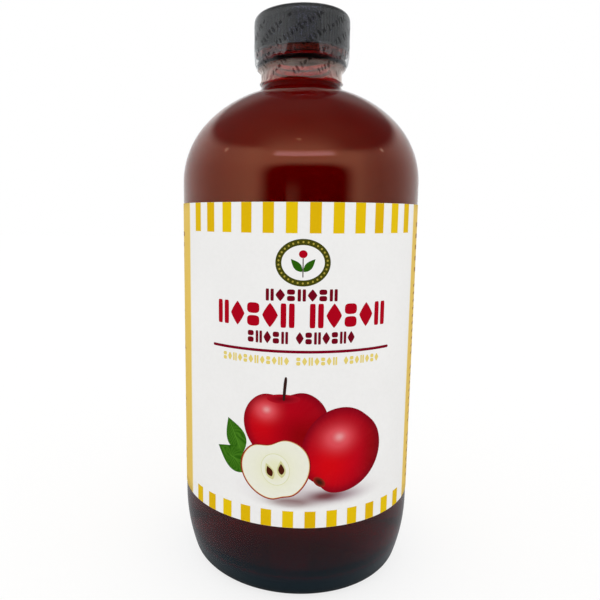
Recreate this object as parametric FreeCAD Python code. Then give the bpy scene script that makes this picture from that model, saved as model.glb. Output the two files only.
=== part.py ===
import FreeCAD, Part
import math
import os

# A 16 oz amber glass Boston round of fruit tonic: glass, drink, screw cap, shrink band and wrap label.
# Origin: centre of the foot ring, on the surface it stands on. +Z runs up the bottle's axis, and
# the middle of the label's front panel faces -Y. All sizes are in millimetres.

# ---- driving dimensions ----

# glass body
body_radius = 37.33        # outside of the straight wall
wall = 2.3                 # glass thickness of wall and shoulder
shoulder_height = 122.6    # where the straight wall ends and the shoulder begins
shoulder_radius = 26.5     # first shoulder arc, tangent to the wall
shoulder_turn = 42.4       # degrees that the first arc turns through
crown_radius = 36.3        # second, flatter shoulder arc, tangent to the first
neck_fillet = 3.0          # hollow arc between the shoulder and the neck, outside
bore_fillet = 4.0          # the same junction inside the glass

# heel and base
heel_height = 20.7         # where the wall begins to draw in towards the foot
heel_radius = 55.0         # long heel arc
foot_corner = 5.1          # short arc from the heel to the foot ring
foot_ring_width = 2.4      # flat ring that the bottle stands on
push_up = 2.6              # height of the hollow under the base
base_thickness = 3.7       # glass at the middle of the base
inner_heel_radius = 9.0    # rounding between the wall and the floor, inside

# neck and finish
neck_radius = 12.45        # outside of the neck, and root of the thread
neck_wall = 3.05           # glass thickness of the neck
neck_length = 4.8          # straight neck from the fillet up to the bead
bead_depth = 1.6           # how far the bead stands out from the neck
bead_height = 2.5
finish_height = 11.1       # from the top of the bead to the lip
lip_rounding = 0.8

# screw thread
thread_pitch = 4.23
thread_depth = 1.25
thread_root_width = 2.0
thread_crest_width = 1.0
thread_start = 3.2         # middle of the ridge at its foot, above the bead
thread_lip_gap = 2.6       # middle of the ridge at its top, below the lip
thread_bite = 0.3          # how far a ridge reaches into the wall that carries it
thread_play = 0.2          # along the axis, under the glass thread
cap_thread_lead = 0.5      # turns that the cap's ridge starts after the glass thread's foot
cap_thread_overrun = 0.25  # turns that it runs on past the glass thread's top

# cap
cap_wall = 0.85
cap_gap = 1.75             # from the top of the bead to the foot of the cap
cap_top_thickness = 2.0
cap_rounding = 2.0
bore_clearance = 0.25      # from a thread's crest to the wall that faces it
rib_count = 90
rib_groove_width = 0.5
rib_groove_depth = 0.22
rib_margin = 0.8           # plain cap below the ribs and between the ribs and the rounding

# shrink band
film_thickness = 0.1
film_clearance = 0.05
film_fold = 3.0            # how far the film lies over the top of the cap
film_draw = 1.0            # drop of the film's slope from the bead in to the neck
bead_wrap = 60.0           # degrees of the bead's underside that the film follows
hem_turn = 22.0            # degrees of the neck fillet that the film's hem follows

# drink
fill_clearance = 0.05
level_drop = 0.5           # from the top of the neck fillet down to the drink's surface

# label
label_foot_margin = 4.0    # plain wall from the heel up to the label
label_top_margin = 6.3     # plain wall from the label up to the shoulder
label_thickness = 0.12
label_clearance = 0.05
label_wrap = 344.0         # degrees round the bottle, with the gap at the back

up = FreeCAD.Vector(0, 0, 1)
axis_point = FreeCAD.Vector(0, 0, 0)


# ---- drawing in the half plane of radius and height ----

def vec(point):
    """A (radius, height) point as a vector in the XZ plane."""
    return FreeCAD.Vector(point[0], 0, point[1])


def on_circle(centre, radius, degrees):
    """The point at an angle on a circle, counted from outwards towards up."""
    turn = math.radians(degrees)
    return (centre[0] + radius * math.cos(turn), centre[1] + radius * math.sin(turn))


def arc(centre, radius, start, end):
    """An arc edge from one angle to another."""
    middle = (start + end) / 2
    points = [on_circle(centre, radius, angle) for angle in (start, middle, end)]
    return Part.Arc(*[vec(p) for p in points]).toShape()


def line(start, end):
    """A straight edge."""
    return Part.LineSegment(vec(start), vec(end)).toShape()


def first_and_last(edge):
    """The (radius, height) ends of an edge in the direction it was drawn."""
    points = [edge.valueAt(edge.FirstParameter), edge.valueAt(edge.LastParameter)]
    return [(p.x, p.z) for p in points]


def joined(*pieces):
    """Edges in order, with a straight one wherever an edge ends away from where the next begins."""
    edges = [pieces[0]]
    for piece in pieces[1:]:
        last = first_and_last(edges[-1])[1]
        first = first_and_last(piece)[0]
        if math.dist(last, first) > 1e-6:
            edges.append(line(last, first))
        edges.append(piece)
    return edges


def turned(edges, degrees=360.0):
    """The solid that a closed outline sweeps about the bottle's axis."""
    last = first_and_last(edges[-1])[1]
    first = first_and_last(edges[0])[0]
    outline = list(edges)
    if math.dist(last, first) > 1e-6:
        outline.append(line(last, first))
    face = Part.Face(Part.Wire(Part.__sortEdges__(outline)))
    return face.revolve(axis_point, up, degrees)


# ---- shared places ----

shoulder_centre = (body_radius - shoulder_radius, shoulder_height)
crown_centre = on_circle(
    on_circle(shoulder_centre, shoulder_radius, shoulder_turn), -crown_radius, shoulder_turn)


def crown_joint(crown, neck, fillet):
    """Centre and touching angle of the hollow arc between a crown circle and a neck radius."""
    across = neck + fillet - crown_centre[0]
    rise = math.sqrt((crown + fillet) ** 2 - across ** 2)
    centre = (neck + fillet, crown_centre[1] + rise)
    return centre, math.degrees(math.atan2(rise, across))


bore_radius = neck_radius - neck_wall
neck_centre, neck_angle = crown_joint(crown_radius, neck_radius, neck_fillet)
neck_start = neck_centre[1]
bead_foot = neck_start + neck_length
bead_top = bead_foot + bead_height
bead_centre = (neck_radius + bead_depth - bead_height / 2, bead_foot + bead_height / 2)
lip_height = bead_top + finish_height

thread_turns = (finish_height - thread_start - thread_lip_gap) / thread_pitch
thread_crest_radius = neck_radius + thread_depth
cap_bore_radius = thread_crest_radius + bore_clearance
cap_radius = cap_bore_radius + cap_wall
cap_foot = bead_top + cap_gap
cap_top = lip_height + cap_top_thickness
cap_corner = (cap_radius - cap_rounding, cap_top - cap_rounding)

heel_centre = (body_radius - heel_radius, heel_height)
heel_angle = math.degrees(math.asin((heel_height - foot_corner) / (heel_radius - foot_corner)))
foot_centre = on_circle(heel_centre, heel_radius - foot_corner, -heel_angle)
foot_outer = foot_centre[0]
foot_inner = foot_outer - foot_ring_width
dome_radius = (foot_inner ** 2 + push_up ** 2) / (2 * push_up)
dome_centre = (0.0, push_up - dome_radius)


# ---- pieces ----

def outer_edges():
    """Outside of the glass from the middle of the base up to the lip."""
    dome_end = 90 - math.degrees(math.asin(foot_inner / dome_radius))
    return joined(
        arc(dome_centre, dome_radius, 90, dome_end),
        line((foot_inner, 0), (foot_outer, 0)),
        arc(foot_centre, foot_corner, -90, -heel_angle),
        arc(heel_centre, heel_radius, -heel_angle, 0),
        arc(shoulder_centre, shoulder_radius, 0, shoulder_turn),
        arc(crown_centre, crown_radius, shoulder_turn, neck_angle),
        arc(neck_centre, neck_fillet, neck_angle + 180, 180),
        line((neck_radius, neck_start), (neck_radius, bead_foot)),
        arc(bead_centre, bead_height / 2, -90, 90),
        line((neck_radius, bead_top), (neck_radius, lip_height - lip_rounding)),
        arc((neck_radius - lip_rounding, lip_height - lip_rounding), lip_rounding, 0, 90),
    )


def inner_edges(inset):
    """The hollow from the middle of its floor up the bore, drawn in by an inset from the glass."""
    side = body_radius - wall - inset
    corner = inner_heel_radius - inset
    floor_radius = dome_radius + base_thickness + inset
    rise = math.sqrt((floor_radius + corner) ** 2 - (side - corner) ** 2)
    corner_centre = (side - corner, dome_centre[1] + rise)
    corner_angle = math.degrees(math.atan2(rise, side - corner))
    crown = crown_radius - wall - inset
    throat_centre, throat_angle = crown_joint(crown, bore_radius - inset, bore_fillet + inset)
    bore_end = (bore_radius - inset, lip_height - lip_rounding)
    return joined(
        arc(dome_centre, floor_radius, 90, corner_angle),
        arc(corner_centre, corner, corner_angle - 180, 0),
        arc(shoulder_centre, shoulder_radius - wall - inset, 0, shoulder_turn),
        arc(crown_centre, crown, shoulder_turn, throat_angle),
        arc(throat_centre, bore_fillet + inset, throat_angle + 180, 180),
        line(on_circle(throat_centre, bore_fillet + inset, 180), bore_end),
    )


def ridge(root, crest, height, first_turn, turns):
    """A screw ridge from a root radius to a crest radius, on a helix that starts at a height."""
    inward = math.copysign(thread_bite, root - crest)
    section = [
        (root + inward, -thread_root_width / 2), (crest, -thread_crest_width / 2),
        (crest, thread_crest_width / 2), (root + inward, thread_root_width / 2),
    ]
    outline = Part.makePolygon([vec(p) for p in section + section[:1]])
    path = Part.makeHelix(thread_pitch, thread_pitch * turns, root)
    swept = Part.Wire(path.Edges).makePipeShell([outline], True, True)
    if swept.Volume < 0:
        swept.reverse()
    swept.rotate(axis_point, up, 360 * first_turn)
    swept.translate(FreeCAD.Vector(0, 0, height + thread_pitch * first_turn))
    return swept


def make_bottle():
    """Amber glass: body, heel, pushed-up base, shoulder, neck, bead, thread and lip in one piece."""
    outer = outer_edges()
    solid = turned(joined(*outer, line((0, lip_height), (0, push_up))))
    rounding = (bore_radius + lip_rounding, lip_height - lip_rounding)
    above = lip_height + lip_rounding
    hollow = turned(joined(
        *inner_edges(0.0),
        arc(rounding, lip_rounding, 180, 90),
        line((rounding[0], above), (0, above)),
    ))
    thread = ridge(neck_radius, thread_crest_radius, bead_top + thread_start, 0, thread_turns)
    return solid.cut(hollow).fuse(thread).removeSplitter()


def make_tonic():
    """The drink: the glass's hollow up to the level, clear of the wall by the fill clearance."""
    hollow = inner_edges(fill_clearance)
    mouth = first_and_last(hollow[-1])[1]
    filled = turned(joined(*hollow, line(mouth, (0, mouth[1]))))
    level = neck_start - level_drop
    return filled.common(Part.makeCylinder(body_radius, level))


def rib_grooves():
    """V grooves round the skirt of the cap, one for each rib."""
    foot = cap_foot + rib_margin
    height = cap_top - cap_rounding - rib_margin - foot
    bottom = cap_radius - rib_groove_depth
    beyond = cap_radius + rib_groove_depth
    corners = [(bottom, 0), (beyond, -rib_groove_width), (beyond, rib_groove_width)]
    points = [FreeCAD.Vector(x, y, foot) for x, y in corners + corners[:1]]
    groove = Part.Face(Part.makePolygon(points)).extrude(FreeCAD.Vector(0, 0, height))
    grooves = []
    for index in range(rib_count):
        copy = groove.copy()
        copy.rotate(axis_point, up, 360.0 * index / rib_count)
        grooves.append(copy)
    return Part.makeCompound(grooves)


def make_cap():
    """Ribbed screw cap seated on the lip, with its own thread under the glass thread."""
    shell = turned(joined(
        line((0, lip_height), (cap_bore_radius, lip_height)),
        line((cap_bore_radius, cap_foot), (cap_radius, cap_foot)),
        arc(cap_corner, cap_rounding, 0, 90),
        line((0, cap_top), (0, lip_height)),
    ))
    drop = (thread_root_width + thread_crest_width) / 2 + thread_play
    foot = bead_top + thread_start - drop
    turns = thread_turns - cap_thread_lead + cap_thread_overrun
    crest = neck_radius + bore_clearance
    thread = ridge(cap_bore_radius, crest, foot, cap_thread_lead, turns)
    return shell.cut(rib_grooves()).fuse(thread).removeSplitter()


def film_edges(offset):
    """The shrink band's path from the fold on the cap's top down to the hem on the neck fillet."""
    fillet = neck_fillet - offset
    bead = bead_height / 2 + offset
    neck = neck_radius + offset
    return joined(
        line((cap_corner[0] - film_fold, cap_top + offset), (cap_corner[0], cap_top + offset)),
        arc(cap_corner, cap_rounding + offset, 90, 0),
        line((cap_radius + offset, cap_corner[1]), (cap_radius + offset, cap_foot)),
        arc(bead_centre, bead, 0, -bead_wrap),
        line((neck, bead_foot - film_draw), (neck, neck_start)),
        arc(neck_centre, fillet, 180, 180 + hem_turn),
    )


def make_seal_band():
    """Clear film shrunk over the cap, the bead and the neck."""
    outside = film_edges(film_clearance + film_thickness)
    inside = film_edges(film_clearance)
    hem = line(first_and_last(outside[-1])[1], first_and_last(inside[-1])[1])
    fold = line(first_and_last(inside[0])[0], first_and_last(outside[0])[0])
    return turned(outside + [hem] + inside[::-1] + [fold])


def make_label():
    """Wrap label round the straight wall, open by a strip of bare glass at the back."""
    near = body_radius + label_clearance
    far = near + label_thickness
    foot = heel_height + label_foot_margin
    top = shoulder_height - label_top_margin
    wrapped = turned(joined(
        line((near, foot), (far, foot)),
        line((far, top), (near, top)),
    ), label_wrap)
    wrapped.rotate(axis_point, up, -90 - label_wrap / 2)
    return wrapped


def main():
    os.makedirs("parts", exist_ok=True)
    pieces = {
        "bottle": make_bottle(),
        "tonic": make_tonic(),
        "cap": make_cap(),
        "seal_band": make_seal_band(),
        "label": make_label(),
    }
    for name, shape in pieces.items():
        solid = shape.Solids[0]
        shape.exportStep(f"parts/{name}.step")
        box = shape.BoundBox
        print(name, shape.isValid(), len(shape.Solids), f"{solid.Volume / 1000:.2f} ml",
              f"z {box.ZMin:.2f} to {box.ZMax:.2f}, width {box.XLength:.2f}")


main()
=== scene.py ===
import bpy
import numpy as np
from mathutils import Matrix, Vector


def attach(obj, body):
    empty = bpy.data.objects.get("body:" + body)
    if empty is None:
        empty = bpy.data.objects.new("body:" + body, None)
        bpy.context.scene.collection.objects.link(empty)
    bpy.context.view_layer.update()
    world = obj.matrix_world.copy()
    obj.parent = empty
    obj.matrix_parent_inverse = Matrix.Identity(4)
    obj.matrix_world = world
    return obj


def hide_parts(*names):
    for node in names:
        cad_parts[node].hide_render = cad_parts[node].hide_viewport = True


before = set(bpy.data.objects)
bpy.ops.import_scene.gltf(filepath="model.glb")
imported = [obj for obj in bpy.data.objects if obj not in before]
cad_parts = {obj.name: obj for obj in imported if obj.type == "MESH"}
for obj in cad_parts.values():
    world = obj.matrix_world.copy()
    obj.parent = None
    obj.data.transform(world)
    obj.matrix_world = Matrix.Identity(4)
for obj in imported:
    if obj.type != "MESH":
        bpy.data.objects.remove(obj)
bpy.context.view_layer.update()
scene = bpy.context.scene
mm = 0.001


# points in the half plane of radius and height, in millimetres

def onCircle(centre, radius, degrees):
    # centre plus radius times (cosine, sine) of one angle or many, counted from outwards towards up
    turn = np.radians(degrees)
    return np.stack([centre[0] + radius * np.cos(turn), centre[1] + radius * np.sin(turn)], -1)


def arc(centre, radius, start, end, count):
    # evenly spaced angles on a circle, from start to end
    return onCircle(centre, radius, np.linspace(start, end, count))


def run(start, end, count):
    # evenly spaced points on a straight run
    share = np.linspace(0, 1, count)[:, None]
    return np.array(start) * (1 - share) + np.array(end) * share


def chain(*parts):
    # parts end to end, with a point dropped wherever it repeats the one before
    points = np.vstack(parts)
    keep = np.r_[True, np.hypot(*np.diff(points, axis=0).T) > 1e-5]
    return points[keep]


# meshes

def roundAxis(radius, turn, height):
    # x = radius sin, y = minus radius cos, z = height; a turn of 0 is the middle of the front
    return np.stack(np.broadcast_arrays(radius * np.sin(turn), -radius * np.cos(turn), height), -1)


def putMesh(name, points, faces):
    # points in millimetres become a smooth mesh in metres, at the origin and unturned
    mesh = bpy.data.meshes.new(name)
    mesh.from_pydata((points * mm).tolist(), [], faces, shade_flat=False)
    mesh.update()
    piece = bpy.data.objects.new(name, mesh)
    scene.collection.objects.link(piece)
    return piece


def outwardStep(points, quads):
    # 1 where the quads face outwards, -1 where they have to be reversed: the sign of the summed box products
    triangles = np.vstack([quads[:, [0, 1, 2]], quads[:, [0, 2, 3]]])
    a, b, c = points[triangles].transpose(1, 0, 2)
    return 1 if np.einsum("ij,ij->i", a, np.cross(b, c)).sum() > 0 else -1


def gridQuads(rows, columns, closedRows=False, closedColumns=False):
    # corner numbers of the cells of a rows by columns grid, wrapped round where it is closed
    r, c = np.indices((rows if closedRows else rows - 1, columns if closedColumns else columns - 1)).reshape(2, -1)
    nextR, nextC = (r + 1) % rows, (c + 1) % columns
    return np.column_stack([r * columns + c, r * columns + nextC, nextR * columns + nextC, nextR * columns + c])


def turnedSurface(name, profile, columns, relief=None, lift=None):
    # the profile (radius, height) carried round the axis; relief(angle, height, index) adds to the radius, lift(angle,
    # height) to the height, and an end on the axis becomes one point
    onAxis = profile[[0, -1], 0] < 1e-9
    rings = profile[int(onAxis[0]):len(profile) - int(onAxis[1])]
    angle = np.linspace(-np.pi, np.pi, columns, endpoint=False)
    radius, height = rings[:, :1], rings[:, 1:]
    if relief:
        radius = radius + relief(angle, height, np.arange(len(rings))[:, None])
    if lift:
        height = height + lift(angle, height)
    points = roundAxis(radius, angle, height).reshape(-1, 3)
    quads = gridQuads(len(rings), columns, not onAxis.any(), True)
    step = outwardStep(points, quads)
    faces = quads[:, ::step].tolist()
    # the fans meet the first and the last ring from opposite sides
    for end, ring, way in ((0, 0, step), (-1, len(rings) - 1, -step)):
        if onAxis[end]:
            around = ring * columns + np.arange(columns)
            fan = np.column_stack([np.roll(around, -1), around, np.full(columns, len(points))])
            faces += fan[:, ::way].tolist()
            points = np.vstack([points, [0, 0, profile[end, 1]]])
    return putMesh(name, points, faces)


def placePiece(piece, slotName, *nodes):
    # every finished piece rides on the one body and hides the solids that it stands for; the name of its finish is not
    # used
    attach(piece, "root")
    if nodes:
        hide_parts(*nodes)
    return piece


print("frame loaded")

# glass, in millimetres

bottle = {
    "bodyRadius": 37.33, "wall": 2.3, "shoulderHeight": 122.6, "shoulderRadius": 26.5, "shoulderTurn": 42.4,
    "crownRadius": 36.3, "neckFillet": 3.0, "boreFillet": 4.0, "heelHeight": 20.7, "heelRadius": 55.0,
    "footCorner": 5.1, "footRingWidth": 2.4, "pushUp": 2.6, "baseThickness": 3.7, "innerHeelRadius": 9.0,
    "neckRadius": 12.45, "neckWall": 3.05, "neckLength": 4.8, "beadDepth": 1.6, "beadHeight": 2.5,
    "finishHeight": 11.1, "lipRounding": 0.8, "threadPitch": 4.23, "threadDepth": 1.25, "threadStart": 3.2,
    "threadLipGap": 2.6, "threadHalf": 1.0, "threadFlank": 0.5, "threadFade": 0.05, "columns": 192,
}

b = bottle
shoulderCentre = (b["bodyRadius"] - b["shoulderRadius"], b["shoulderHeight"])
crownStart = onCircle(shoulderCentre, b["shoulderRadius"], b["shoulderTurn"])
crownCentre = tuple(onCircle(crownStart, -b["crownRadius"], b["shoulderTurn"]))


def crownJoint(crown, neck, fillet):
    # centre and touching angle of the hollow arc between a crown circle and a neck radius
    across = neck + fillet - crownCentre[0]
    up = np.sqrt((crown + fillet) ** 2 - across ** 2)
    return (neck + fillet, crownCentre[1] + up), np.degrees(np.arctan2(up, across))


boreRadius = b["neckRadius"] - b["neckWall"]
neckCentre, neckAngle = crownJoint(b["crownRadius"], b["neckRadius"], b["neckFillet"])
neckStart = neckCentre[1]
beadFoot = neckStart + b["neckLength"]
beadTop = beadFoot + b["beadHeight"]
beadCentre = (b["neckRadius"] + b["beadDepth"] - b["beadHeight"] / 2, beadFoot + b["beadHeight"] / 2)
lipHeight = beadTop + b["finishHeight"]
threadTurns = (b["finishHeight"] - b["threadStart"] - b["threadLipGap"]) / b["threadPitch"]
heelCentre = (b["bodyRadius"] - b["heelRadius"], b["heelHeight"])
heelAngle = np.degrees(np.arcsin((b["heelHeight"] - b["footCorner"]) / (b["heelRadius"] - b["footCorner"])))
footCentre = onCircle(heelCentre, b["heelRadius"] - b["footCorner"], -heelAngle)
footInner = footCentre[0] - b["footRingWidth"]
domeRadius = (footInner ** 2 + b["pushUp"] ** 2) / (2 * b["pushUp"])
domeCentre = (0.0, b["pushUp"] - domeRadius)


def outsideProfile():
    # pushed-up base, foot ring, heel, straight wall, shoulder, crown, neck fillet, neck, bead, thread wall and lip
    domeEnd = 90 - np.degrees(np.arcsin(footInner / domeRadius))
    side, neck, corner = b["bodyRadius"], b["neckRadius"], b["lipRounding"]
    return chain(
        arc(domeCentre, domeRadius, 90, domeEnd + 0.6, 14),
        run((footInner + 0.15, 0), (footCentre[0], 0), 4),
        arc(footCentre, b["footCorner"], -90, -heelAngle, 16),
        arc(heelCentre, b["heelRadius"], -heelAngle, 0, 22),
        run((side, b["heelHeight"]), (side, b["shoulderHeight"]), 30),
        arc(shoulderCentre, b["shoulderRadius"], 0, b["shoulderTurn"], 40),
        arc(crownCentre, b["crownRadius"], b["shoulderTurn"], neckAngle, 30),
        arc(neckCentre, b["neckFillet"], neckAngle + 180, 180, 12),
        run((neck, neckStart), (neck, beadFoot), 6),
        run((neck, beadFoot), (beadCentre[0], beadFoot), 2),
        arc(beadCentre, b["beadHeight"] / 2, -90, 90, 14),
        run((neck, beadTop), (neck, lipHeight - corner), 44),
        arc((neck - corner, lipHeight - corner), corner, 0, 90, 6))


def insideProfile(inset):
    # the hollow from the middle of its floor up to the bore, drawn in by an inset (out, where it is negative)
    side = b["bodyRadius"] - b["wall"] - inset
    corner = b["innerHeelRadius"] - inset
    floorRadius = domeRadius + b["baseThickness"] + inset
    up = np.sqrt((floorRadius + corner) ** 2 - (side - corner) ** 2)
    cornerCentre = (side - corner, domeCentre[1] + up)
    cornerAngle = np.degrees(np.arctan2(up, side - corner))
    crown, fillet = b["crownRadius"] - b["wall"] - inset, b["boreFillet"] + inset
    throatCentre, throatAngle = crownJoint(crown, boreRadius - inset, fillet)
    boreTop = (boreRadius - inset, lipHeight - b["lipRounding"])
    return chain(
        arc(domeCentre, floorRadius, 90, cornerAngle, 14),
        arc(cornerCentre, corner, cornerAngle - 180, 0, 18),
        run((side, cornerCentre[1]), (side, b["shoulderHeight"]), 30),
        arc(shoulderCentre, b["shoulderRadius"] - b["wall"] - inset, 0, b["shoulderTurn"], 30),
        arc(crownCentre, crown, b["shoulderTurn"], throatAngle, 24),
        arc(throatCentre, fillet, throatAngle + 180, 180, 10),
        run(onCircle(throatCentre, fillet, 180), boreTop, 10))


def makeGlass():
    outside = outsideProfile()
    corner = b["lipRounding"]
    lip = arc((boreRadius + corner, lipHeight - corner), corner, 90, 180, 6)
    profile = chain(outside, lip, insideProfile(0.0)[::-1])

    def relief(angle, height, index):
        # a ridge that climbs one pitch a turn, with sloping flanks, faded in and out at its two ends
        turned = angle / (2 * np.pi)
        along = (height - beadTop - b["threadStart"]) / b["threadPitch"] - turned
        nearest = np.round(along)
        offset = np.abs(along - nearest) * b["threadPitch"]
        shape = np.clip((b["threadHalf"] - offset) / b["threadFlank"], 0, 1)
        ridge = nearest + turned
        fade = np.clip(np.minimum(ridge + 0.02, threadTurns + 0.02 - ridge) / b["threadFade"], 0, 1)
        onWall = (index < len(outside)) & (height > beadTop + 0.3) & (height < lipHeight - corner)
        return b["threadDepth"] * shape * fade * onWall

    return turnedSurface("amber_bottle", profile, b["columns"], relief)


glass = placePiece(makeGlass(), "amber_glass", "bottle")

# the drink reaches a little into the glass, so that no air lies between them

drink = {"overlap": 0.1, "levelDrop": 0.5, "meniscusRise": 0.5, "meniscusWidth": 1.6, "topPoints": 16, "columns": 144}


def makeDrink():
    hollow = insideProfile(-drink["overlap"])
    level = neckStart - drink["levelDrop"]
    side = hollow[hollow[:, 1] < level + drink["meniscusRise"] * 0.98]
    # its top sags from the wall to the middle: level plus the rise times exp(-distance from the wall / width)
    radius = np.linspace(side[-1, 0], 0, drink["topPoints"])
    sag = np.exp(-(side[-1, 0] - radius) / drink["meniscusWidth"])
    top = np.column_stack([radius, level + drink["meniscusRise"] * sag])
    return turnedSurface("tonic_drink", chain(side, top), drink["columns"])


tonic = placePiece(makeDrink(), "drink", "tonic")
print("glass and drink made")

# shrink film over the cap and the neck

film = {
    "thickness": 0.1, "clearance": 0.05, "fold": 3.0, "draw": 1.0, "hemWave": 0.3,
    "capRadius": 14.8, "capRounding": 2.0, "capFoot": beadTop + 1.75, "capTop": lipHeight + 2.0, "columns": 450,
    "ribs": 90, "ribDepth": 0.035, "ribInset": 0.8, "pleat": 0.07, "dent": 0.04, "crinkle": 0.09,
    # outer radius and drop below the foot of the cap: over the bead, in to the neck, out again at the hem
    "seal": ((14.95, 0.0), (14.89, 0.7), (14.82, 1.3), (14.75, 1.9), (14.66, 2.5), (14.54, 3.1), (14.34, 3.65),
             (14.06, 4.15), (13.66, 4.55), (13.20, 4.85), (12.84, 5.15), (12.66, 5.6), (12.60, 6.2), (12.60, 6.9),
             (12.60, 7.6), (12.67, 8.1), (12.81, 8.5), (12.99, 8.85), (13.09, 9.08)),
    # share of the way from 153 to 165 mm up: roughness and strength of the gloss, painted glow of the glass behind
    "zones": ((0.04, 0.42, 0.34, 0), (0.21, 0.42, 0.62, 0), (0.35, 0.42, 0.62, 0), (0.45, 0.10, 0.95, 0),
              (0.60, 0.13, 1.15, 0), (0.68, 0.14, 1.15, 0.055), (0.74, 0.14, 1.10, 0.05), (0.80, 0.20, 0.9, 0),
              (0.867, 0.36, 0.66, 0)),
}
filmOut = film["clearance"] + film["thickness"]


def sealLine():
    # the listed outline in quarter steps, each inner point moved six times halfway to the middle of its neighbours
    points = np.array(film["seal"])
    steps = np.linspace(0, len(points) - 1, 4 * len(points) - 3)
    fine = np.column_stack([np.interp(steps, np.arange(len(points)), points[:, axis]) for axis in (0, 1)])
    for _ in range(6):
        fine[1:-1] = 0.5 * fine[1:-1] + 0.25 * (fine[:-2] + fine[2:])
    return np.column_stack([fine[:, 0], film["capFoot"] - fine[:, 1]])


def filmProfile(offset):
    # over the top edge of the cap, down its skirt, in round the bead and down the neck to the hem
    f = film
    corner = (f["capRadius"] - f["capRounding"], f["capTop"] - f["capRounding"])
    top, side = f["capTop"] + offset, f["capRadius"] + offset
    return chain(
        run((corner[0] - f["fold"], top), (corner[0], top), 6),
        arc(corner, f["capRounding"] + offset, 90, 0, 12),
        run((side, corner[1]), (side, f["capFoot"]), 20),
        sealLine() - (filmOut - offset, 0.0))


def waves(angle, height, seed, count, turnsLow, turnsHigh, climb):
    # sum of sines of whole turns round the axis plus a climb per millimetre, with seeded phases, over root count
    rng = np.random.default_rng(seed)
    turns = rng.integers(turnsLow, turnsHigh, count)
    slopes, phases = rng.uniform(-climb, climb, count), rng.uniform(0, 6.28, count)
    return sum(np.sin(t * angle + s * height + p) for t, s, p in zip(turns, slopes, phases)) / np.sqrt(count)


def filmRelief(angle, height, index):
    # dents between the ribs of the cap, upright pleats where it is drawn in, crinkles on the neck
    f = film
    skirtTop, skirtFoot = f["capTop"] - f["capRounding"] - f["ribInset"], f["capFoot"] + f["ribInset"]
    onSkirt = np.clip(2 * (skirtTop - height), 0, 1) * np.clip(2 * (height - skirtFoot), 0, 1)
    ribs = -f["ribDepth"] * (0.5 - 0.5 * np.cos(f["ribs"] * angle)) * onSkirt
    drawn = np.exp(-((height - beadTop - 0.6) / 1.3) ** 2)
    pleats = f["pleat"] * waves(angle, height, 3, 7, 14, 46, 0.25) * drawn
    rough = np.abs(waves(angle, height, 5, 9, 5, 24, 1.1))
    crinkles = f["crinkle"] * np.clip(rough - 0.15, 0, 1.4) * np.clip((beadFoot - height) / 0.8, 0, 1)
    return ribs + np.maximum(pleats, -f["dent"]) + crinkles


def filmHem(angle, height):
    # the hem rises and falls a little; above the bead nothing moves
    start = beadFoot - film["draw"]
    share = np.clip((start - height) / (start - neckStart), 0, 1)
    return film["hemWave"] * share * waves(angle, 0 * height, 11, 5, 2, 9, 0)


def makeFilm():
    profile = chain(filmProfile(filmOut), filmProfile(film["clearance"])[::-1])
    return turnedSurface("shrink_film", profile, film["columns"], filmRelief, filmHem)


shrinkFilm = placePiece(makeFilm(), "clear_film", "seal_band")
print("film made")

# diagonal rows of short strokes printed on the film

filmMarks = {
    "radius": film["capRadius"] + filmOut, "rows": 11, "climb": 0.62,
    "stroke": 0.5, "tall": 1.9, "step": 1.3, "skipped": 0.14, "low": 154.3, "lowest": 153.9, "high": 171.2,
    "highest": 171.8, "seed": 21, "gap": 0.012, "neckGap": 0.12,
    # width and height in shares of the stroke, and lean
    "kinds": ((1.0, 1.0, 0.0), (2.0, 0.45, 0.0), (1.0, 0.8, 0.18), (1.5, 1.0, -0.15)),
}


def filmRadius(height):
    # outer radius of the film at a height, read off its profile
    profile = filmProfile(filmOut)[::-1]
    climbing = np.maximum.accumulate(profile[:, 1])
    keep = np.r_[True, np.diff(climbing) > 1e-6]
    return np.interp(height, climbing[keep], profile[keep, 0])


def makeFilmMarks():
    # each stroke is a small grid of cells: (along + x, y) turned by the slope of its row and laid on the film
    m = filmMarks
    rng = np.random.default_rng(m["seed"])
    around = 2 * np.pi * m["radius"]
    points, faces = [], []
    u, v = np.meshgrid(np.linspace(-0.5, 0.5, 3), np.linspace(-0.5, 0.5, 5))
    slope = np.arctan(m["climb"])
    sine, cosine = np.sin(slope), np.cos(slope)
    for rowStart in np.linspace(-around / 2, around / 2, m["rows"] + 1):
        along = 0.0
        while along * sine < m["high"] - m["low"]:
            wideShare, tallShare, lean = m["kinds"][rng.integers(0, len(m["kinds"]))]
            wide, tall = m["stroke"] * wideShare, m["tall"] * tallShare
            if rng.uniform() > m["skipped"]:
                x, y = u * wide + v * tall * lean, v * tall
                across = rowStart + (along + x) * cosine - y * sine
                height = m["low"] + (along + x) * sine + y * cosine
                if height.min() > m["lowest"] and height.max() < m["highest"]:
                    radius = filmRadius(height) + np.where(height < beadFoot, m["neckGap"], m["gap"])
                    points.append(roundAxis(radius, across / m["radius"], height).reshape(-1, 3))
                    faces.append(gridQuads(*u.shape) + len(faces) * u.size)
            along += wide + m["step"] * rng.uniform(0.45, 0.85)
    return putMesh("film_marks", np.vstack(points), np.vstack(faces).tolist())


marks = placePiece(makeFilmMarks(), "clear_film")
print("film marked")

# wrap label

label = {
    "radius": 37.44, "innerRadius": 37.35, "foot": 24.7, "top": 116.3, "wrap": 344.0, "panelHalf": 61.9,
    "columns": 345, "rows": 24, "layerGap": 0.012,
    "stripeCount": 12, "stripePeriod": 9.69, "stripeWidth": 4.79, "topStripe": 8.2, "footStripe": 5.0,
    "stripeInset": 0.02, "panelLine": 0.55,
}


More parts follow.
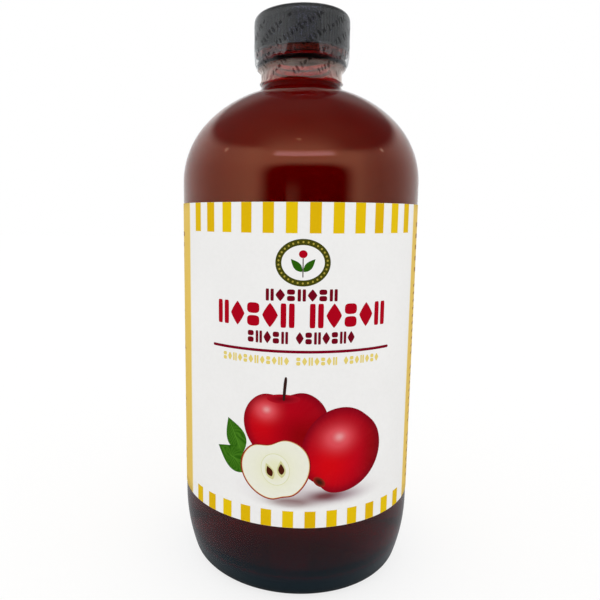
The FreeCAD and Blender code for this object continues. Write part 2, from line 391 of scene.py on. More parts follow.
def makeLabel():
    # a closed section of two upright rows of points, carried round in equal turns, with a face at both ends
    heights = np.linspace(label["foot"], label["top"], label["rows"])
    radius = np.repeat([label["radius"], label["innerRadius"]], label["rows"])
    ring = np.r_[heights, heights[::-1]]
    turn = np.radians(np.linspace(-label["wrap"] / 2, label["wrap"] / 2, label["columns"]))
    points = roundAxis(radius, turn[:, None], ring).reshape(-1, 3)
    quads = gridQuads(len(turn), len(ring), False, True)
    ends = [list(range(len(ring))), list(range(len(points)))[:-len(ring) - 1:-1]]
    return putMesh("wrap_label", points, quads[:, ::outwardStep(points, quads)].tolist() + ends)


wrapLabel = placePiece(makeLabel(), "label_paper", "label")
print("label made")

# print on the label: patches of ink, each layer a little further out than the ones under it; places are (across,
# height) in millimetres, across along the paper from the middle of the front

ink = {
    "paper": (0.893, 0.888, 0.878), "gold": (0.80, 0.55, 0.003), "goldDeep": (0.73, 0.45, 0.002),
    "goldPale": (0.80, 0.64, 0.17), "tan": (0.80, 0.555, 0.115), "tanPale": (0.86, 0.74, 0.42),
    "red": (0.42, 0.0, 0.010), "darkRed": (0.17, 0.001, 0.010), "crimson": (0.20, 0.0, 0.012),
    "olive": (0.060, 0.062, 0.004), "oliveMark": (0.42, 0.34, 0.05), "leaf": (0.022, 0.11, 0.002),
    "leafPale": (0.09, 0.27, 0.02), "stem": (0.035, 0.012, 0.010), "cream": (0.84, 0.84, 0.68),
    "brown": (0.42, 0.20, 0.045),
}
mmPerDegree = label["radius"] * np.pi / 180
sheets = {}


def addPatch(sheet, across, height, quads, colour, layer):
    # collects points, faces and ink colours under the name of the sheet that they belong to
    across, height = np.ravel(across), np.ravel(height)
    store = sheets.setdefault(sheet, {"points": [], "faces": [], "colours": [], "count": 0})
    radius = label["radius"] + layer * label["layerGap"]
    store["points"].append(roundAxis(radius, across / label["radius"], height))
    store["faces"].append(quads + store["count"])
    store["colours"].append(np.broadcast_to(colour, (len(across), 3)))
    store["count"] += len(across)


def addBar(sheet, left, right, foot, top, colour, layer):
    # a straight-sided patch, cut into columns of 0.9 mm at most that follow the curve of the paper
    columns = max(2, int(np.ceil((right - left) / 0.9)) + 1)
    across, height = np.meshgrid(np.linspace(left, right, columns), [foot, top])
    addPatch(sheet, across, height, gridQuads(2, columns), colour, layer)


def addBlob(sheet, middle, outline, colour, layer, rings=None):
    # a patch with a closed outline round its middle: rings at growing shares of the outline, and colour either
    # one ink or a function of (share, turn, across, height)
    count = len(outline)
    rings = rings or max(2, int(np.ceil(np.abs(outline).max() / 0.8)))
    share = np.r_[0.02, np.linspace(0, 1, rings + 1)[1:]][:, None]
    across, height = share * outline[:, 0], share * outline[:, 1]
    turn = np.linspace(0, 2 * np.pi, count, endpoint=False)
    if callable(colour):
        colour = colour(share + 0 * turn, turn + 0 * share, across, height)
    shade = np.broadcast_to(colour, across.shape + (3,)).reshape(-1, 3)
    across, height = across + middle[0], height + middle[1]
    addPatch(sheet, across, height, gridQuads(len(share), count, False, True)[:, ::-1], shade, layer)
    # the small hole in its middle is closed by strips from one side to the other
    k = np.arange(count // 2 - 1)
    strips = np.column_stack([k, k + 1, count - 2 - k, count - 1 - k])
    addPatch(sheet, across[0], height[0], strips, shade[:count], layer)


def turned(points, degrees):
    # points turned about their own middle
    c, s = np.cos(np.radians(degrees)), np.sin(np.radians(degrees))
    return points @ np.array([[c, s], [-s, c]])


def roundedBlock(width, height, power, count=40):
    # a superellipse: |x|^power + |y|^power = 1, scaled to the width and height
    t = np.linspace(0, 2 * np.pi, count, endpoint=False)
    c, s = np.cos(t), np.sin(t)
    x, y = np.sign(c) * np.abs(c) ** (2 / power), np.sign(s) * np.abs(s) ** (2 / power)
    return np.column_stack([width / 2 * x, height / 2 * y])


def ellipse(width, height, count=48):
    return roundedBlock(width, height, 2.0, count)


def leafOutline(length, width, count=48):
    # half as wide as width times sin(pi share^0.8) on both sides, share running from the stalk to the tip
    share = np.linspace(0, 1, count // 2 + 1)
    along, side = (share - 0.5) * length, width / 2 * np.sin(np.pi * share ** 0.8)
    return np.vstack([np.column_stack([along, -side])[1:], np.column_stack([along, side])[-2::-1]])


def mixInk(first, second, share):
    share = np.clip(np.asarray(share, float), 0, 1)[..., None]
    return np.asarray(first) * (1 - share) + np.asarray(second) * share


def bump(x, y, middleX, middleY, wide, high):
    # 1 in the middle, falling as a bell with the two widths
    return np.exp(-((x - middleX) / wide) ** 2 - ((y - middleY) / high) ** 2)


def printPanel():
    # white panel between two pale lines, on the tan ground
    edge = label["panelHalf"] * mmPerDegree
    for half, colour, layer in ((edge + label["panelLine"], ink["tanPale"], 0.6), (edge, ink["paper"], 1.2)):
        addBar("label_panel", -half, half, label["foot"], label["top"], colour, layer)


def printStripes():
    # golden stripes along the top and the foot of the panel, one period apart
    count, period, width = label["stripeCount"], label["stripePeriod"], label["stripeWidth"]
    top, foot, inset = label["top"], label["foot"], label["stripeInset"]
    for index in range(count):
        left = (index * period - ((count - 1) * period + width) / 2) * mmPerDegree
        tone = mixInk(ink["gold"], ink["goldDeep"], 0.5 + 0.5 * np.sin(index * 2.3))
        for low, high in ((top - label["topStripe"], top - inset), (foot + inset, foot + label["footStripe"])):
            addBar("label_stripes", left, left + width * mmPerDegree, low, high, tone, 2.2)


emblem = {
    "height": 100.3, "size": (14.9, 12.7), "ring": 1.65, "marks": 30, "markSize": (0.55, 0.55), "leaf": (4.6, 2.0),
    "leafPlace": (1.75, -0.7), "leafLean": 42, "stemHalf": 0.14, "stemFoot": -3.9, "stemTop": 1.2,
    "berry": (2.3, 2.1), "berryRise": 2.3,
}


def printEmblem():
    # an oval ring with evenly spaced marks, round a sprig with two leaves and a berry
    e, sheet, height = emblem, "label_emblem", emblem["height"]
    size, half = np.array(e["size"]), e["stemHalf"]
    addBlob(sheet, (0.0, height), ellipse(*size, 72), ink["olive"], 2.2)
    addBlob(sheet, (0.0, height), ellipse(*(size - 2 * e["ring"]), 72), ink["paper"], 3.0)
    for index in range(e["marks"]):
        turn = 2 * np.pi * (index + 0.5) / e["marks"]
        place = (size - e["ring"]) / 2 * (np.cos(turn), np.sin(turn)) + (0.0, height)
        addBlob(sheet, place, ellipse(*e["markSize"], 12), ink["oliveMark"], 3.0, 1)
    for side in (-1, 1):
        shape = turned(leafOutline(*e["leaf"]), 90 - side * e["leafLean"])
        addBlob(sheet, (side * e["leafPlace"][0], height + e["leafPlace"][1]), shape, ink["leaf"], 3.4)
    addBar(sheet, -half, half, height + e["stemFoot"], height + e["stemTop"], ink["stem"], 3.4)
    addBlob(sheet, (0.0, height + e["berryRise"]), ellipse(*e["berry"]), ink["red"], 3.8)


# ornamental rows in place of words: middle, foot, top, width of a shape, number in each group, gap, ink and the
# shapes that take turns
lines = (
    (-0.2, 89.9, 93.2, 2.3, (7,), 0.6, "darkRed", ("bars", "lozenge", "drops")),
    (0.0, 82.6, 89.3, 3.9, (5, 5), 0.95, "red", ("bars", "lozenge", "drops", "lozenge", "bars")),
    (-0.2, 78.1, 81.5, 1.9, (5, 7), 0.52, "darkRed", ("drops", "bars", "lozenge")),
    (0.0, 72.2, 74.5, 1.22, (12, 7, 7), 0.48, "goldPale", ("drops", "lozenge", "bars", "lozenge")),
)
rule = {"half": 27.0, "foot": 75.6, "top": 76.4}
# sides, distance from the middle and size in shares of (width, height), power of the outline
shapes = {
    "bars": ((-1, 1), (0.29, 0.0), (0.40, 1.0), 7), "drops": ((-1, 1), (0.0, 0.265), (0.94, 0.44), 3.2),
    "lozenge": ((0,), (0.0, 0.0), (1.12, 1.0), 1.15),
}


def printLines():
    # each row centred on its middle, and a thin rule with round ends
    sheet = "label_lines"
    for middle, foot, top, width, groups, gap, colour, kinds in lines:
        tall, wordGap = top - foot, gap * 3.2
        left = middle - (sum(groups) * (width + gap) - gap + (len(groups) - 1) * wordGap) / 2
        number = 0
        for group in groups:
            for _ in range(group):
                signs, off, size, power = shapes[kinds[number % len(kinds)]]
                for side in signs:
                    place = (left + width / 2 + side * off[0] * width, (foot + top) / 2 + side * off[1] * tall)
                    addBlob(sheet, place, roundedBlock(width * size[0], tall * size[1], power), ink[colour], 2.2)
                number += 1
                left += width + gap
            left += wordGap
    addBar(sheet, -rule["half"], rule["half"], rule["foot"], rule["top"], ink["crimson"], 2.2)
    thick = rule["top"] - rule["foot"]
    for side in (-1, 1):
        end = (side * rule["half"], rule["foot"] + thick / 2)
        addBlob(sheet, end, ellipse(thick, thick, 16), ink["crimson"], 2.2, 1)


fruit = {
    # glow, light and dark are (across, up, wide, high, strength) in shares of the radius
    "back": {"middle": (-4.2, 54.6), "radius": 12.1, "lean": 4, "dip": 0.17, "glow": (-0.55, 0.05, 0.40, 0.7, 0.7),
             "light": (-0.46, 0.36, 0.24, 0.20, 0.80), "dark": (0.45, -0.25, 0.65, 0.6, 0.8), "rimDark": 0.7},
    "front": {"middle": (12.3, 47.1), "radius": 13.6, "lean": -38, "dip": 0.03, "glow": (-0.30, -0.30, 0.50, 0.50, 0.9),
              "light": (-0.10, 0.30, 0.30, 0.24, 0.80), "dark": (0.80, -0.10, 0.34, 0.9, 0.6), "rimDark": 0.75},
    "half": {"middle": (-6.9, 41.9), "radius": 10.3, "lean": 14, "dip": 0.17},
    # middle, (length, width) and lean of the leaves
    "leaves": (((-19.3, 50.2), (11.0, 6.6), 116), ((-19.8, 43.4), (12.5, 7.4), 156)),
    "shadow": {"middle": (2.0, 35.6), "size": (54, 11.5)},
}


def fruitOutline(piece, count=96):
    # a round whose top dips at the stalk and whose foot is narrower and dented
    radius = piece["radius"]
    t = np.linspace(0, 2 * np.pi, count, endpoint=False)
    x = radius * np.cos(t) * (1.0 + 0.10 * np.sin(t))
    fromTop = (t + np.pi / 2) % (2 * np.pi) - np.pi
    fromFoot = (t - np.pi / 2) % (2 * np.pi) - np.pi
    dips = 0.07 * np.exp(-(fromFoot / 0.26) ** 2) - piece["dip"] * np.exp(-(fromTop / 0.33) ** 2)
    return np.column_stack([x, radius * (0.90 * np.sin(t) + dips)])


def fruitShade(piece):
    # pure red with a brighter glow, deeper towards one side and the rim, fine streaks and a soft highlight
    def spot(name, x, y, size=1.0, shift=0.0):
        middleX, middleY, wide, high, strength = piece[name]
        return strength * bump(x, y, middleX + shift, middleY + shift, wide * size, high * size)

    def shade(share, turn, x, y):
        x, y = x / piece["radius"], y / piece["radius"]
        streak = 0.5 + 0.5 * np.sin(turn * 31 + 4 * np.sin(turn * 7))
        strength = piece["light"][4]
        colour = (0.50, 0.0, 0.010)
        for tone, cover in (
                ((0.25, 0.0, 0.006), np.clip(share - 0.45, 0, 1) * 1.2),
                ((0.66, 0.001, 0.004), spot("glow", x, y)),
                ((0.19, 0.0, 0.0), spot("dark", x, y)),
                ((0.60, 0.03, 0.045), 0.07 * streak * np.clip(share * 1.4 - 0.4, 0, 1)),
                ((0.17, 0.0, 0.008), np.clip((share - 0.80) * 4.4, 0, 1) * piece["rimDark"]),
                ((0.76, 0.09, 0.11), np.minimum(1.7 * spot("light", x, y), strength)),
                ((0.88, 0.50, 0.50), 0.75 * spot("light", x, y, 0.36, 0.02))):
            colour = mixInk(colour, tone, cover)
        return colour
    return shade


def shadowShade(share, turn, x, y):
    # darkest where the fruits touch the ground, gone at the edge of the patch
    fade = 1 - share ** 3
    soft = 0.30 * (1 - share) + 0.75 * bump(x, y, 9.8, -1.8, 9.0, 2.0)
    near = 1.1 * bump(x, y, -4.6, -3.5, 6.6, 1.7) + 0.9 * bump(x, y, 5.6, -1.4, 5.0, 1.5)
    paper = np.array(ink["paper"])
    colour = mixInk(paper, paper * np.array((0.30, 0.16, 0.22)), np.clip(soft, 0, 0.8) * fade)
    return mixInk(colour, (0.13, 0.006, 0.008), np.clip(near, 0, 0.85) * fade)


def leafShade(share, turn, x, y):
    return mixInk(ink["leaf"], ink["leafPale"], 0.42 + 0.3 * np.sin(9 * x + 5 * np.abs(y)) - 0.25 * share)


def hollowShade(middle, rim, power=1):
    # from one ink in the middle to another at the rim, by the share to a power
    return lambda share, turn, x, y: mixInk(middle, rim, share ** power)


def printFruit():
    # an upright fruit, one lying over to the right, half a fruit in front with its core and seeds, a soft shadow
    def blob(*patch):
        addBlob("label_fruit", *patch)

    def placeOn(piece, across, up):
        # a place in shares of the radius, leant over with the fruit
        return turned(np.array([across, up]) * piece["radius"], piece["lean"]) + piece["middle"]

    blob(fruit["shadow"]["middle"], ellipse(*fruit["shadow"]["size"], 96), shadowShade, 2.0, 26)
    for place, size, angle in fruit["leaves"]:
        blob(place, turned(leafOutline(*size), angle), leafShade, 2.7)
        blob(place, turned(ellipse(size[0] * 0.84, 0.22, 24), angle), ink["leafPale"], 3.0, 2)

    back, front, half = fruit["back"], fruit["front"], fruit["half"]
    r = back["radius"]
    blob(back["middle"], turned(fruitOutline(back), back["lean"]), fruitShade(back), 3.2, 30)
    # the dip round the stalk, darker below its far edge
    dip = np.array(back["middle"]) + (-0.05 * r, 0.66 * r)
    blob(dip, ellipse(r * 0.78, r * 0.22), hollowShade((0.16, 0.0, 0.004), (0.42, 0.004, 0.014)), 3.5, 6)
    # the stalk, bent by 0.05 (height + 0.28)^2 and wider at its top
    stalk = roundedBlock(0.85, r * 0.56, 3, 28)
    up = stalk[:, 1] / r
    stalk[:, 0] += 0.05 * (up + 0.28) ** 2 * r + 0.18 * np.sign(stalk[:, 0]) * np.clip(up, 0, 1)
    blob(dip + (0.3, r * 0.24), turned(stalk, -3), ink["stem"], 4.4, 4)

    r = front["radius"]
    lying = turned(fruitOutline(front) * (0.90, 1.04), front["lean"])
    blob(front["middle"], lying, fruitShade(front), 3.8, 32)
    eye = turned(ellipse(r * 0.30, r * 0.18, 32), front["lean"])
    blob(placeOn(front, 0.0, -0.80), eye, hollowShade((0.03, 0.01, 0.004), (0.34, 0.02, 0.012), 2), 4.2, 5)

    r = half["radius"]

    def fleshShade(share, turn, x, y):
        # greener round the core, paler towards the peel
        colour = mixInk(ink["cream"], (0.76, 0.76, 0.42), 0.5 * bump(x / r, y / r, 0, 0, 0.34, 0.42))
        return mixInk(colour, (0.86, 0.86, 0.78), np.clip(share * 1.6 - 0.8, 0, 1) * 0.7)

    rim = turned(fruitOutline(half), half["lean"])
    core = turned(ellipse(r * 0.80, r * 0.92, 64), half["lean"])
    for outline, colour, layer, rings in (
            (rim, (0.30, 0.002, 0.010), 4.6, 22), (rim * 0.965, (0.70, 0.45, 0.18), 5.0, 22),
            (rim * 0.945, fleshShade, 5.4, 22), (core, (0.70, 0.71, 0.38), 5.8, 8),
            (core * 0.965, fleshShade, 6.2, 8)):
        blob(half["middle"], outline, colour, layer, rings)
    for side in (-1, 1):
        place = placeOn(half, side * 0.17, -0.02)
        for size, colour, layer in (((0.50, 0.24), (0.64, 0.62, 0.30), 6.4), ((0.32, 0.17), (0.07, 0.012, 0.004), 6.8)):
            shape = turned(leafOutline(r * size[0], r * size[1], 32), 90 + half["lean"] - side * 10)
            blob(place, shape, colour, layer, 3)


# degrees from the front, foot, top, number and height of the rows of small print on the sides
sides = {
    "spans": ((-169, -66), (66, 169)), "margin": 2.0, "gap": 1.0, "ragged": 16, "seed": 7,
    "blocks": ((96, 111, 5, 1.3), (70, 92, 10, 0.7), (48, 66, 8, 0.7), (29.5, 44, 6, 0.9)),
}


def printSides():
    # rows of thin bars of uneven length, ragged at the right, on the tan ground
    rng = np.random.default_rng(sides["seed"])
    for low, high in sides["spans"]:
        inner, outer = low * mmPerDegree + sides["margin"], high * mmPerDegree - sides["margin"]
        for foot, top, rows, tall in sides["blocks"]:
            for height in np.linspace(foot, top - tall, rows):
                at, finish = inner, outer - rng.uniform(0, sides["ragged"])
                while at < finish - 2:
                    length = rng.uniform(2.2, 7.5)
                    addBar("label_sides", at, min(at + length, finish), height, height + tall, ink["brown"], 1.4)
                    at += length + sides["gap"]


def makeSheets():
    for name, store in sheets.items():
        piece = putMesh(name, np.vstack(store["points"]), np.vstack(store["faces"]).tolist())
        colours = np.vstack(store["colours"])
        attribute = piece.data.attributes.new("ink", "FLOAT_COLOR", "POINT")
        attribute.data.foreach_set("color", np.column_stack([colours, np.ones(len(colours))]).ravel())
        store["piece"] = placePiece(piece, "label_paper")


for printSheet in (printPanel, printStripes, printEmblem, printLines, printFruit, printSides):
    printSheet()
makeSheets()
print("label printed:", sum(store["count"] for store in sheets.values()), "points")


# shader nodes, all added to the tree that is being built

building = {"tree": None}


def startTree(owner):
    # the nodes of a material or a world are emptied, and addNode works there
    owner.use_nodes = True
    building["tree"] = owner.node_tree
    owner.node_tree.nodes.clear()
    return owner


def plug(socket, value):
    # a node's first output or an output is linked, and anything else becomes the value of the socket
    if isinstance(value, bpy.types.Node):
        value = value.outputs[0]
    if isinstance(value, bpy.types.NodeSocket):
        building["tree"].links.new(value, socket)
    else:
        socket.default_value = value


def addNode(kind, settings=None, **inputs):
    # a node with its settings and its inputs, named with _ for a space, or with n and a number
    node = building["tree"].nodes.new("ShaderNode" + kind)
    for key, value in (settings or {}).items():
        setattr(node, key, value)
    for key, value in inputs.items():
        byNumber = key[0] == "n" and key[1:].isdigit()
        plug(node.inputs[int(key[1:]) if byNumber else key.replace("_", " ")], value)
    return node


def calc(operation, *values):
    node = addNode("Math", {"operation": operation})
    for socket, value in zip(node.inputs, values):
        plug(socket, value)
    return node.outputs[0]


def times(*values):
    # the product of all the values
    product = values[0]
    for value in values[1:]:
        product = calc("MULTIPLY", product, value)
    return product


def plus(*values):
    # the sum of all the values
    total = values[0]
    for value in values[1:]:
        total = calc("ADD", total, value)
    return total


def without(share):
    # 1 minus the share
    return calc("SUBTRACT", 1.0, share)


def rise(value, low, high, first=0.0, last=1.0, kind="SMOOTHSTEP"):
    # from first at low to last at high, as an S curve or straight, and level on both sides
    limits = {"From_Min": low, "From_Max": high, "To_Min": first, "To_Max": last}
    return addNode("MapRange", {"interpolation_type": kind}, Value=value, **limits).outputs[0]


def straight(*limits):
    return rise(*limits, kind="LINEAR")


def bearing(x, y):
    # the angle from the front, where the direction is -y
    return calc("ARCTAN2", x, times(y, -1.0))


def colourRamp(value, stops):
    # colour read off (place, colour) stops, straight from one to the next
    node = addNode("ValToRGB", n0=value)
    elements = node.color_ramp.elements
    for index, (place, colour) in enumerate(stops):
        stop = elements[index] if index < 2 else elements.new(place)
        stop.position, stop.color = place, (*colour, 1)
    return node.outputs[0]


def mixShader(share, first, second):
    return addNode("MixShader", n0=share, n1=first, n2=second)


def mirroredRay():
    # 1 for what gloss and glass send on, 0 for the rest
    path = addNode("LightPath").outputs
    return calc("MAXIMUM", path["Is Glossy Ray"], path["Is Transmission Ray"])


def newMaterial(name, lay, *options):
    # a material whose output takes what lay(place) gives, from the place on the object
    material = startTree(bpy.data.materials.new(name))
    addNode("OutputMaterial", **lay(addNode("TexCoord").outputs["Object"], *options))
    return material


def upright(place):
    # the height in metres
    return addNode("SeparateXYZ", n0=place).outputs[2]


# finishes

def layGlass(place):
    # brown glass: dark by absorption, with a faint unevenness that bends what it mirrors
    wavy = addNode("TexNoise", Vector=place, Scale=55.0, Detail=1.0, Roughness=0.3)
    relief = addNode("Bump", Strength=0.10, Distance=0.0003, Height=wavy)
    # painted reflection colour: gloss is cool near the foot, warm over the drink and weak around the neck
    tint = colourRamp(straight(upright(place), 0.0, 0.18), (
        (0.007, (0.35, 1.0, 1.45)), (0.10, (0.85, 1.0, 1.15)), (0.30, (2.3, 1.0, 0.55)),
        (0.804, (2.3, 1.0, 0.55)), (0.820, (0.35, 0.06, 0.04)), (0.90, (0.30, 0.06, 0.06))))
    surface = addNode("BsdfPrincipled", Base_Color=(1, 1, 1, 1), Roughness=0.0, IOR=1.5, Normal=relief,
                      Transmission_Weight=1.0, Specular_Tint=tint)
    volume = addNode("VolumeAbsorption", Color=(0.915, 0.41, 0.0, 1), Density=1700.0)
    return {"Surface": surface, "Volume": volume}


def layDrink(place):
    # deep red-brown drink, a little cloudy: part of the light passes, part glows back red
    clear = addNode("BsdfPrincipled", Base_Color=(1, 1, 1, 1), Roughness=0.0, IOR=1.34, Transmission_Weight=1.0)
    swirl = addNode("TexNoise", Vector=place, Scale=22.0, Detail=2.0)
    tone = colourRamp(swirl, ((0, (0.94, 0.005, 0.0)), (1, (1.0, 0.009, 0.001))))
    cloudy = addNode("BsdfDiffuse", Color=tone)
    # painted shade: less of the red glow lower down, so the drink is darker towards the base
    share = rise(upright(place), 0.014, 0.12, 0.02, 0.92)
    volume = addNode("VolumeAbsorption", Color=(0.784, 0.40, 0.0, 1), Density=100.0)
    return {"Surface": mixShader(share, clear, cloudy), "Volume": volume}


def layFilm(place):
    # clear film: sees through and shines by Fresnel off both its faces, satin over the ribs of the cap,
    # and milky in patches where it is crumpled on the neck
    height = upright(place)
    zones = colourRamp(straight(height, 0.153, 0.165), [(share, zone) for share, *zone in film["zones"]])
    rough, strength, glow = addNode("SeparateColor", n0=zones).outputs
    onNeck = rise(height, 0.1586, 0.1577)
    stretched = addNode("Mapping", Vector=place, Scale=(1, 1, 1.6))
    crumple = addNode("TexNoise", Vector=stretched, Scale=190.0, Detail=3.0, Roughness=0.55)
    hem = rise(height, 0.1532, 0.1565, 0.30)
    milky = times(onNeck, hem, straight(crumple, 0.25, 0.75, 0.12, 0.24))
    facing = addNode("LayerWeight", Blend=0.35).outputs["Facing"]
    rim = times(calc("POWER", facing, 2.0), plus(times(onNeck, 1.2), 0.02))
    outside = without(addNode("NewGeometry").outputs["Backfacing"])
    clear = addNode("BsdfTransparent", Color=(0.97, 0.97, 0.97, 1))
    milk = addNode("BsdfDiffuse", Color=(0.93, 0.76, 0.66, 1))
    # painted glow: red-brown on the film where the lit glass behind should show through
    warm = addNode("BsdfDiffuse", Color=(0.60, 0.05, 0.02, 1))
    gloss = addNode("BsdfGlossy", Color=(0.95, 0.98, 1.0, 1), Roughness=rough)
    veil = mixShader(times(plus(milky, rim), outside), clear, milk)
    # two faces one behind the other mirror nearly 2 F / (1 + F)
    edge = addNode("Fresnel", IOR=1.5).outputs[0]
    twice = calc("DIVIDE", times(edge, times(strength, 2.0)), plus(edge, 1.0))
    surface = mixShader(times(twice, outside), mixShader(glow, veil, warm), gloss)
    return {"Surface": surface}


def layMarks(place):
    # thin dark ink on the film
    worn = addNode("TexNoise", Vector=place, Scale=700.0, Detail=2.0)
    clear = addNode("BsdfTransparent", Color=(1, 1, 1, 1))
    dark = addNode("BsdfPrincipled", Base_Color=(0.008, 0.008, 0.010, 1), Roughness=0.5)
    return {"Surface": mixShader(straight(worn, 0, 1, 0.25, 0.60), clear, dark)}


def layCap(place):
    # black moulded plastic, satin, with a very fine grain
    grain = addNode("TexNoise", Vector=place, Scale=2500.0, Detail=2.0)
    patch = addNode("TexNoise", Vector=place, Scale=160.0, Detail=2.0)
    relief = addNode("Bump", Strength=0.12, Distance=0.00005, Height=grain)
    surface = addNode("BsdfPrincipled", Base_Color=(0.006, 0.007, 0.008, 1), IOR=1.5, Normal=relief,
                      Roughness=straight(patch, 0, 1, 0.42, 0.58))
    return {"Surface": surface}


def layPaper(place, printed):
    # coated paper: the ink of its print or the plain tan, faint fibre mottling, soft gloss
    fibre = addNode("TexNoise", Vector=place, Scale=900.0, Detail=3.0, Roughness=0.6)
    cloud = addNode("TexNoise", Vector=place, Scale=45.0, Detail=2.0)
    colour = addNode("Attribute", {"attribute_name": "ink"}).outputs["Color"] if printed else ink["tan"]
    mottle = times(straight(cloud, 0, 1, 0.955, 1.03), straight(fibre, 0, 1, 0.97, 1.03))
    shaded = addNode("VectorMath", {"operation": "SCALE"}, n0=colour, Scale=mottle)
    relief = addNode("Bump", Strength=0.06, Distance=0.0001, Height=fibre)
    surface = addNode("BsdfPrincipled", Base_Color=shaded, Roughness=0.50, IOR=1.45, Normal=relief,
                      Specular_IOR_Level=0.03)
    return {"Surface": surface}


def coat(piece, material):
    piece.data.materials.clear()
    piece.data.materials.append(material)


coat(glass, newMaterial("amberGlass", layGlass))
coat(tonic, newMaterial("tonicDrink", layDrink))
coat(shrinkFilm, newMaterial("clearFilm", layFilm))
coat(marks, newMaterial("filmInk", layMarks))
coat(wrapLabel, newMaterial("labelPaper", layPaper, False))
printedPaper = newMaterial("labelPrint", layPaper, True)
for store in sheets.values():
    coat(store["piece"], printedPaper)
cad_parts["cap"].material_slots[0].material = newMaterial("capPlastic", layCap)
print("finishes made")

# studio: floor, light that comes evenly from all round, and the tent that gloss and glass mirror

floor = {
    "half": 3000.0, "drop": 0.02,  # millimetres
    # metres from the middle, and the level that gloss sees there
    "aside": (0.02, 0.12, 0.29, 0.46), "below": (0.030, 0.038, 0.03), "beyond": (0.085, 0.17),
    "ahead": (92, 58), "darkening": 0.97,  # degrees from the front
}


def layFloor(place):
    # pale to the eye; gloss sees it darker, with hardly any light under the bottle and none on the table in front
    camera = addNode("LightPath").outputs["Is Camera Ray"]
    diffuse = addNode("BsdfDiffuse", Color=(0.93, 0.93, 0.93, 1))
    plain = mixShader(times(camera, 0.75), diffuse, addNode("Emission", Color=(1, 1, 1, 1), Strength=1.03))
    x, y, _ = addNode("SeparateXYZ", n0=place).outputs
    away = addNode("VectorMath", {"operation": "LENGTH"}, n0=place).outputs["Value"]
    aside, below = rise(calc("ABSOLUTE", x), *floor["aside"]), rise(away, *floor["below"])
    ahead = rise(calc("ABSOLUTE", bearing(x, y)), *np.radians(floor["ahead"]))
    table = times(ahead, rise(away, *floor["beyond"]), floor["darkening"])
    dim = addNode("Emission", Color=(0.97, 1.0, 1.03, 1), Strength=times(aside, below, without(table)))
    return {"Surface": mixShader(mirroredRay(), plain, dim)}


def makeFloor():
    points = np.array([(-1, -1, 0), (1, -1, 0), (1, 1, 0), (-1, 1, 0)]) * floor["half"] - (0, 0, floor["drop"])
    piece = putMesh("floor", points, [(0, 1, 2, 3)])
    coat(piece, newMaterial("paleFloor", layFloor))


makeFloor()

tent = {
    # by azimuth in degrees: level of the wall, elevation of its upper edge, level above it
    "wall": ((-180, 0.80), (-130, 0.80), (-98, 0.70), (-85, 0.72), (-65, 0.93), (-50, 1.13), (-30, 1.02), (0, 0.98),
             (30, 1.00), (44, 1.02), (56, 0.98), (66, 0.73), (78, 0.56), (100, 0.58), (120, 0.70), (145, 0.78),
             (180, 0.80)),
    "edge": ((-180, 26), (-160, 28), (-145, 31), (-125, 33), (-100, 34.5), (-80, 36), (-62, 37.5), (-45, 38),
             (-30, 36), (0, 36), (30, 35), (44, 35), (56, 33.5), (75, 32), (100, 31), (128, 30), (145, 28), (160, 27),
             (180, 26)),
    "overhead": ((-180, 0.11), (-150, 0.12), (-135, 0.15), (-115, 0.165), (-95, 0.20), (-75, 0.24), (-50, 0.28),
                 (0, 0.29), (50, 0.25), (64, 0.22), (78, 0.165), (90, 0.125), (110, 0.105), (140, 0.12), (180, 0.11)),
    # by elevation: glow over the front wall
    "glow": ((0, 0.78), (38, 0.78), (41, 0.74), (45, 0.53), (53, 0.26), (62, 0.04), (70, 0.0)),
    "wallLift": 0.16, "zenith": 0.18, "rear": 0.23, "strip": 1.65, "stripBlue": 0.62, "person": 0.26,
    # dark opening in front, in degrees
    "openingMiddle": 4.5, "openingHalf": 41.0, "openingTop": 20.0, "openingEdge": (0.80, 1.22), "openingDark": 0.998,
    # azimuth and elevation of three small lamps, outer and inner radius, level
    "lamps": ((-85, 31.2), (90, 29.3), (-3.6, 51.5)), "lampEdge": (2.6, 1.2), "lamp": 1.2,
}


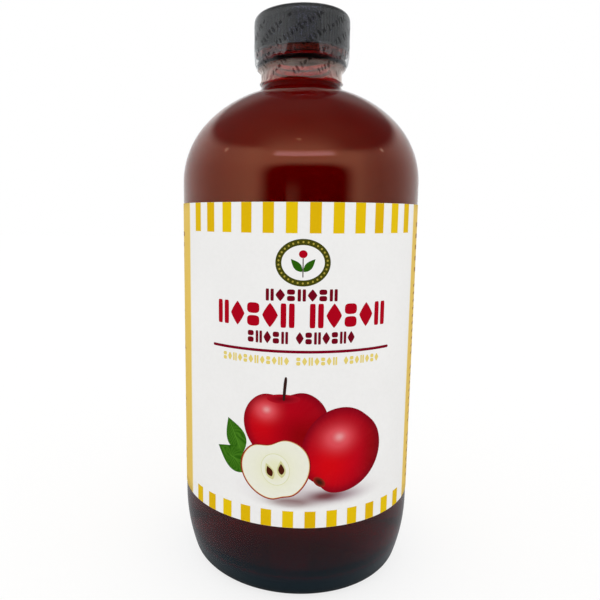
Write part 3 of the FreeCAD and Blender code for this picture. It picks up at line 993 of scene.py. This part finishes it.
def makeWorld():
    world = scene.world = startTree(bpy.data.worlds.new("studio"))
    world.cycles.sampling_method = "NONE"
    direction = addNode("TexCoord").outputs["Generated"]
    x, y, z = addNode("SeparateXYZ", n0=direction).outputs
    elevation, azimuth = calc("ARCSINE", z), bearing(x, y)

    def step(value, low, high):
        # smooth rise from 0 at low to 1 at high, in degrees
        return rise(value, np.radians(low), np.radians(high))

    def between(value, low, width, high, fall):
        # 0 below low, 1 from low + width to high, 0 above high + fall
        return times(step(value, low, low + width), without(step(value, high, high + fall)))

    def curve(value, stops):
        # level read off (degrees, level) stops; the ramp holds a third of each, as its colours end at 1
        low, high = stops[0][0], stops[-1][0]
        share = straight(value, np.radians(low), np.radians(high))
        thirds = [((degrees - low) / (high - low), (level / 3,) * 3) for degrees, level in stops]
        return times(colourRamp(share, thirds), 3.0)

    # walls all round, lit a little unevenly, up to their edge
    wall = times(curve(azimuth, tent["wall"]), plus(1.0, times(step(elevation, 12, 26), tent["wallLift"])))
    edge = curve(azimuth, [(degrees, np.radians(height)) for degrees, height in tent["edge"]])
    zenith = step(elevation, 62, 82)
    rear = times(step(calc("ABSOLUTE", azimuth), 132, 158), without(step(elevation, 42, 60)))
    glow = times(curve(elevation, tent["glow"]), between(azimuth, -60, 40, 12, 44))
    overhead = plus(times(curve(azimuth, tent["overhead"]), without(zenith)), times(zenith, tent["zenith"]),
                    times(rear, tent["rear"]), glow)
    top = step(calc("SUBTRACT", elevation, edge), -4, 4)
    strip = times(between(azimuth, -32, 8, 28, 10), between(elevation, 28.5, 2.5, 32.3, 6.0))
    level = plus(times(wall, without(top)), times(overhead, top), times(strip, tent["strip"]))
    # the opening has round upper corners: fourth root of (across / half width)^4 + (up / height)^4 against 1
    off = calc("ABSOLUTE", calc("SUBTRACT", azimuth, np.radians(tent["openingMiddle"])))
    across = calc("DIVIDE", off, np.radians(tent["openingHalf"]))
    up = calc("DIVIDE", calc("MAXIMUM", elevation, 0.0), np.radians(tent["openingTop"]))
    reach = calc("POWER", plus(calc("POWER", across, 4.0), calc("POWER", up, 4.0)), 0.25)
    opening = times(without(rise(reach, *tent["openingEdge"])), step(elevation, -60, -30))
    level = times(level, without(times(opening, tent["openingDark"])))
    # a figure stands in the opening
    person = times(between(azimuth, -16, 4, -8, 10), without(step(elevation, 2, 4.5)))
    level = plus(level, times(person, tent["person"]))
    for place in tent["lamps"]:
        a, e = np.radians(place)
        toward = (np.sin(a) * np.cos(e), -np.cos(a) * np.cos(e), np.sin(e))
        aim = addNode("VectorMath", {"operation": "DOT_PRODUCT"}, n0=direction, n1=toward).outputs["Value"]
        lamp = rise(aim, *np.cos(np.radians(tent["lampEdge"])))
        level = plus(level, times(lamp, tent["lamp"]))
    # the bright strip is a little bluer than the rest
    cool = addNode("CombineColor", Red=1.0, Green=1.0, Blue=plus(1.0, times(strip, tent["stripBlue"])))
    mirrored = addNode("Background", Color=cool, Strength=level)
    plain = addNode("Background", Color=(1, 1, 1, 1), Strength=1.0)
    addNode("OutputWorld", Surface=mixShader(mirroredRay(), plain, mirrored))


makeWorld()

# eye and lens in millimetres, turns in degrees, clipping in metres
view = {
    "distance": 190.6, "height": 112.27, "azimuth": -1.9, "yaw": 3.39, "pitch": 8.20, "roll": 0.42,
    "lens": 34.52, "sensor": 36.0, "shift": 0.0598, "near": 0.005, "far": 50.0,
}


def makeCamera():
    data = bpy.data.cameras.new("camera")
    data.lens, data.sensor_width, data.shift_x = view["lens"], view["sensor"], view["shift"]
    data.clip_start, data.clip_end = view["near"], view["far"]
    camera = bpy.data.objects.new("camera", data)
    scene.collection.objects.link(camera)
    azimuth, yaw, pitch, roll = np.radians([view["azimuth"], view["yaw"], view["pitch"], view["roll"]])
    stand = Matrix.Translation(Vector(roundAxis(view["distance"], azimuth, view["height"])) * mm)
    # turned about the upright, tipped up from looking straight down, rolled about the line of sight
    turn, twist = Matrix.Rotation(azimuth + yaw, 4, "Z"), Matrix.Rotation(roll, 4, "Z")
    camera.matrix_world = stand @ turn @ Matrix.Rotation(np.pi / 2 - pitch, 4, "X") @ twist
    scene.camera = camera


makeCamera()
scene.view_settings.view_transform = "Standard"
print("studio and camera made")

bpy.context.view_layer.update()
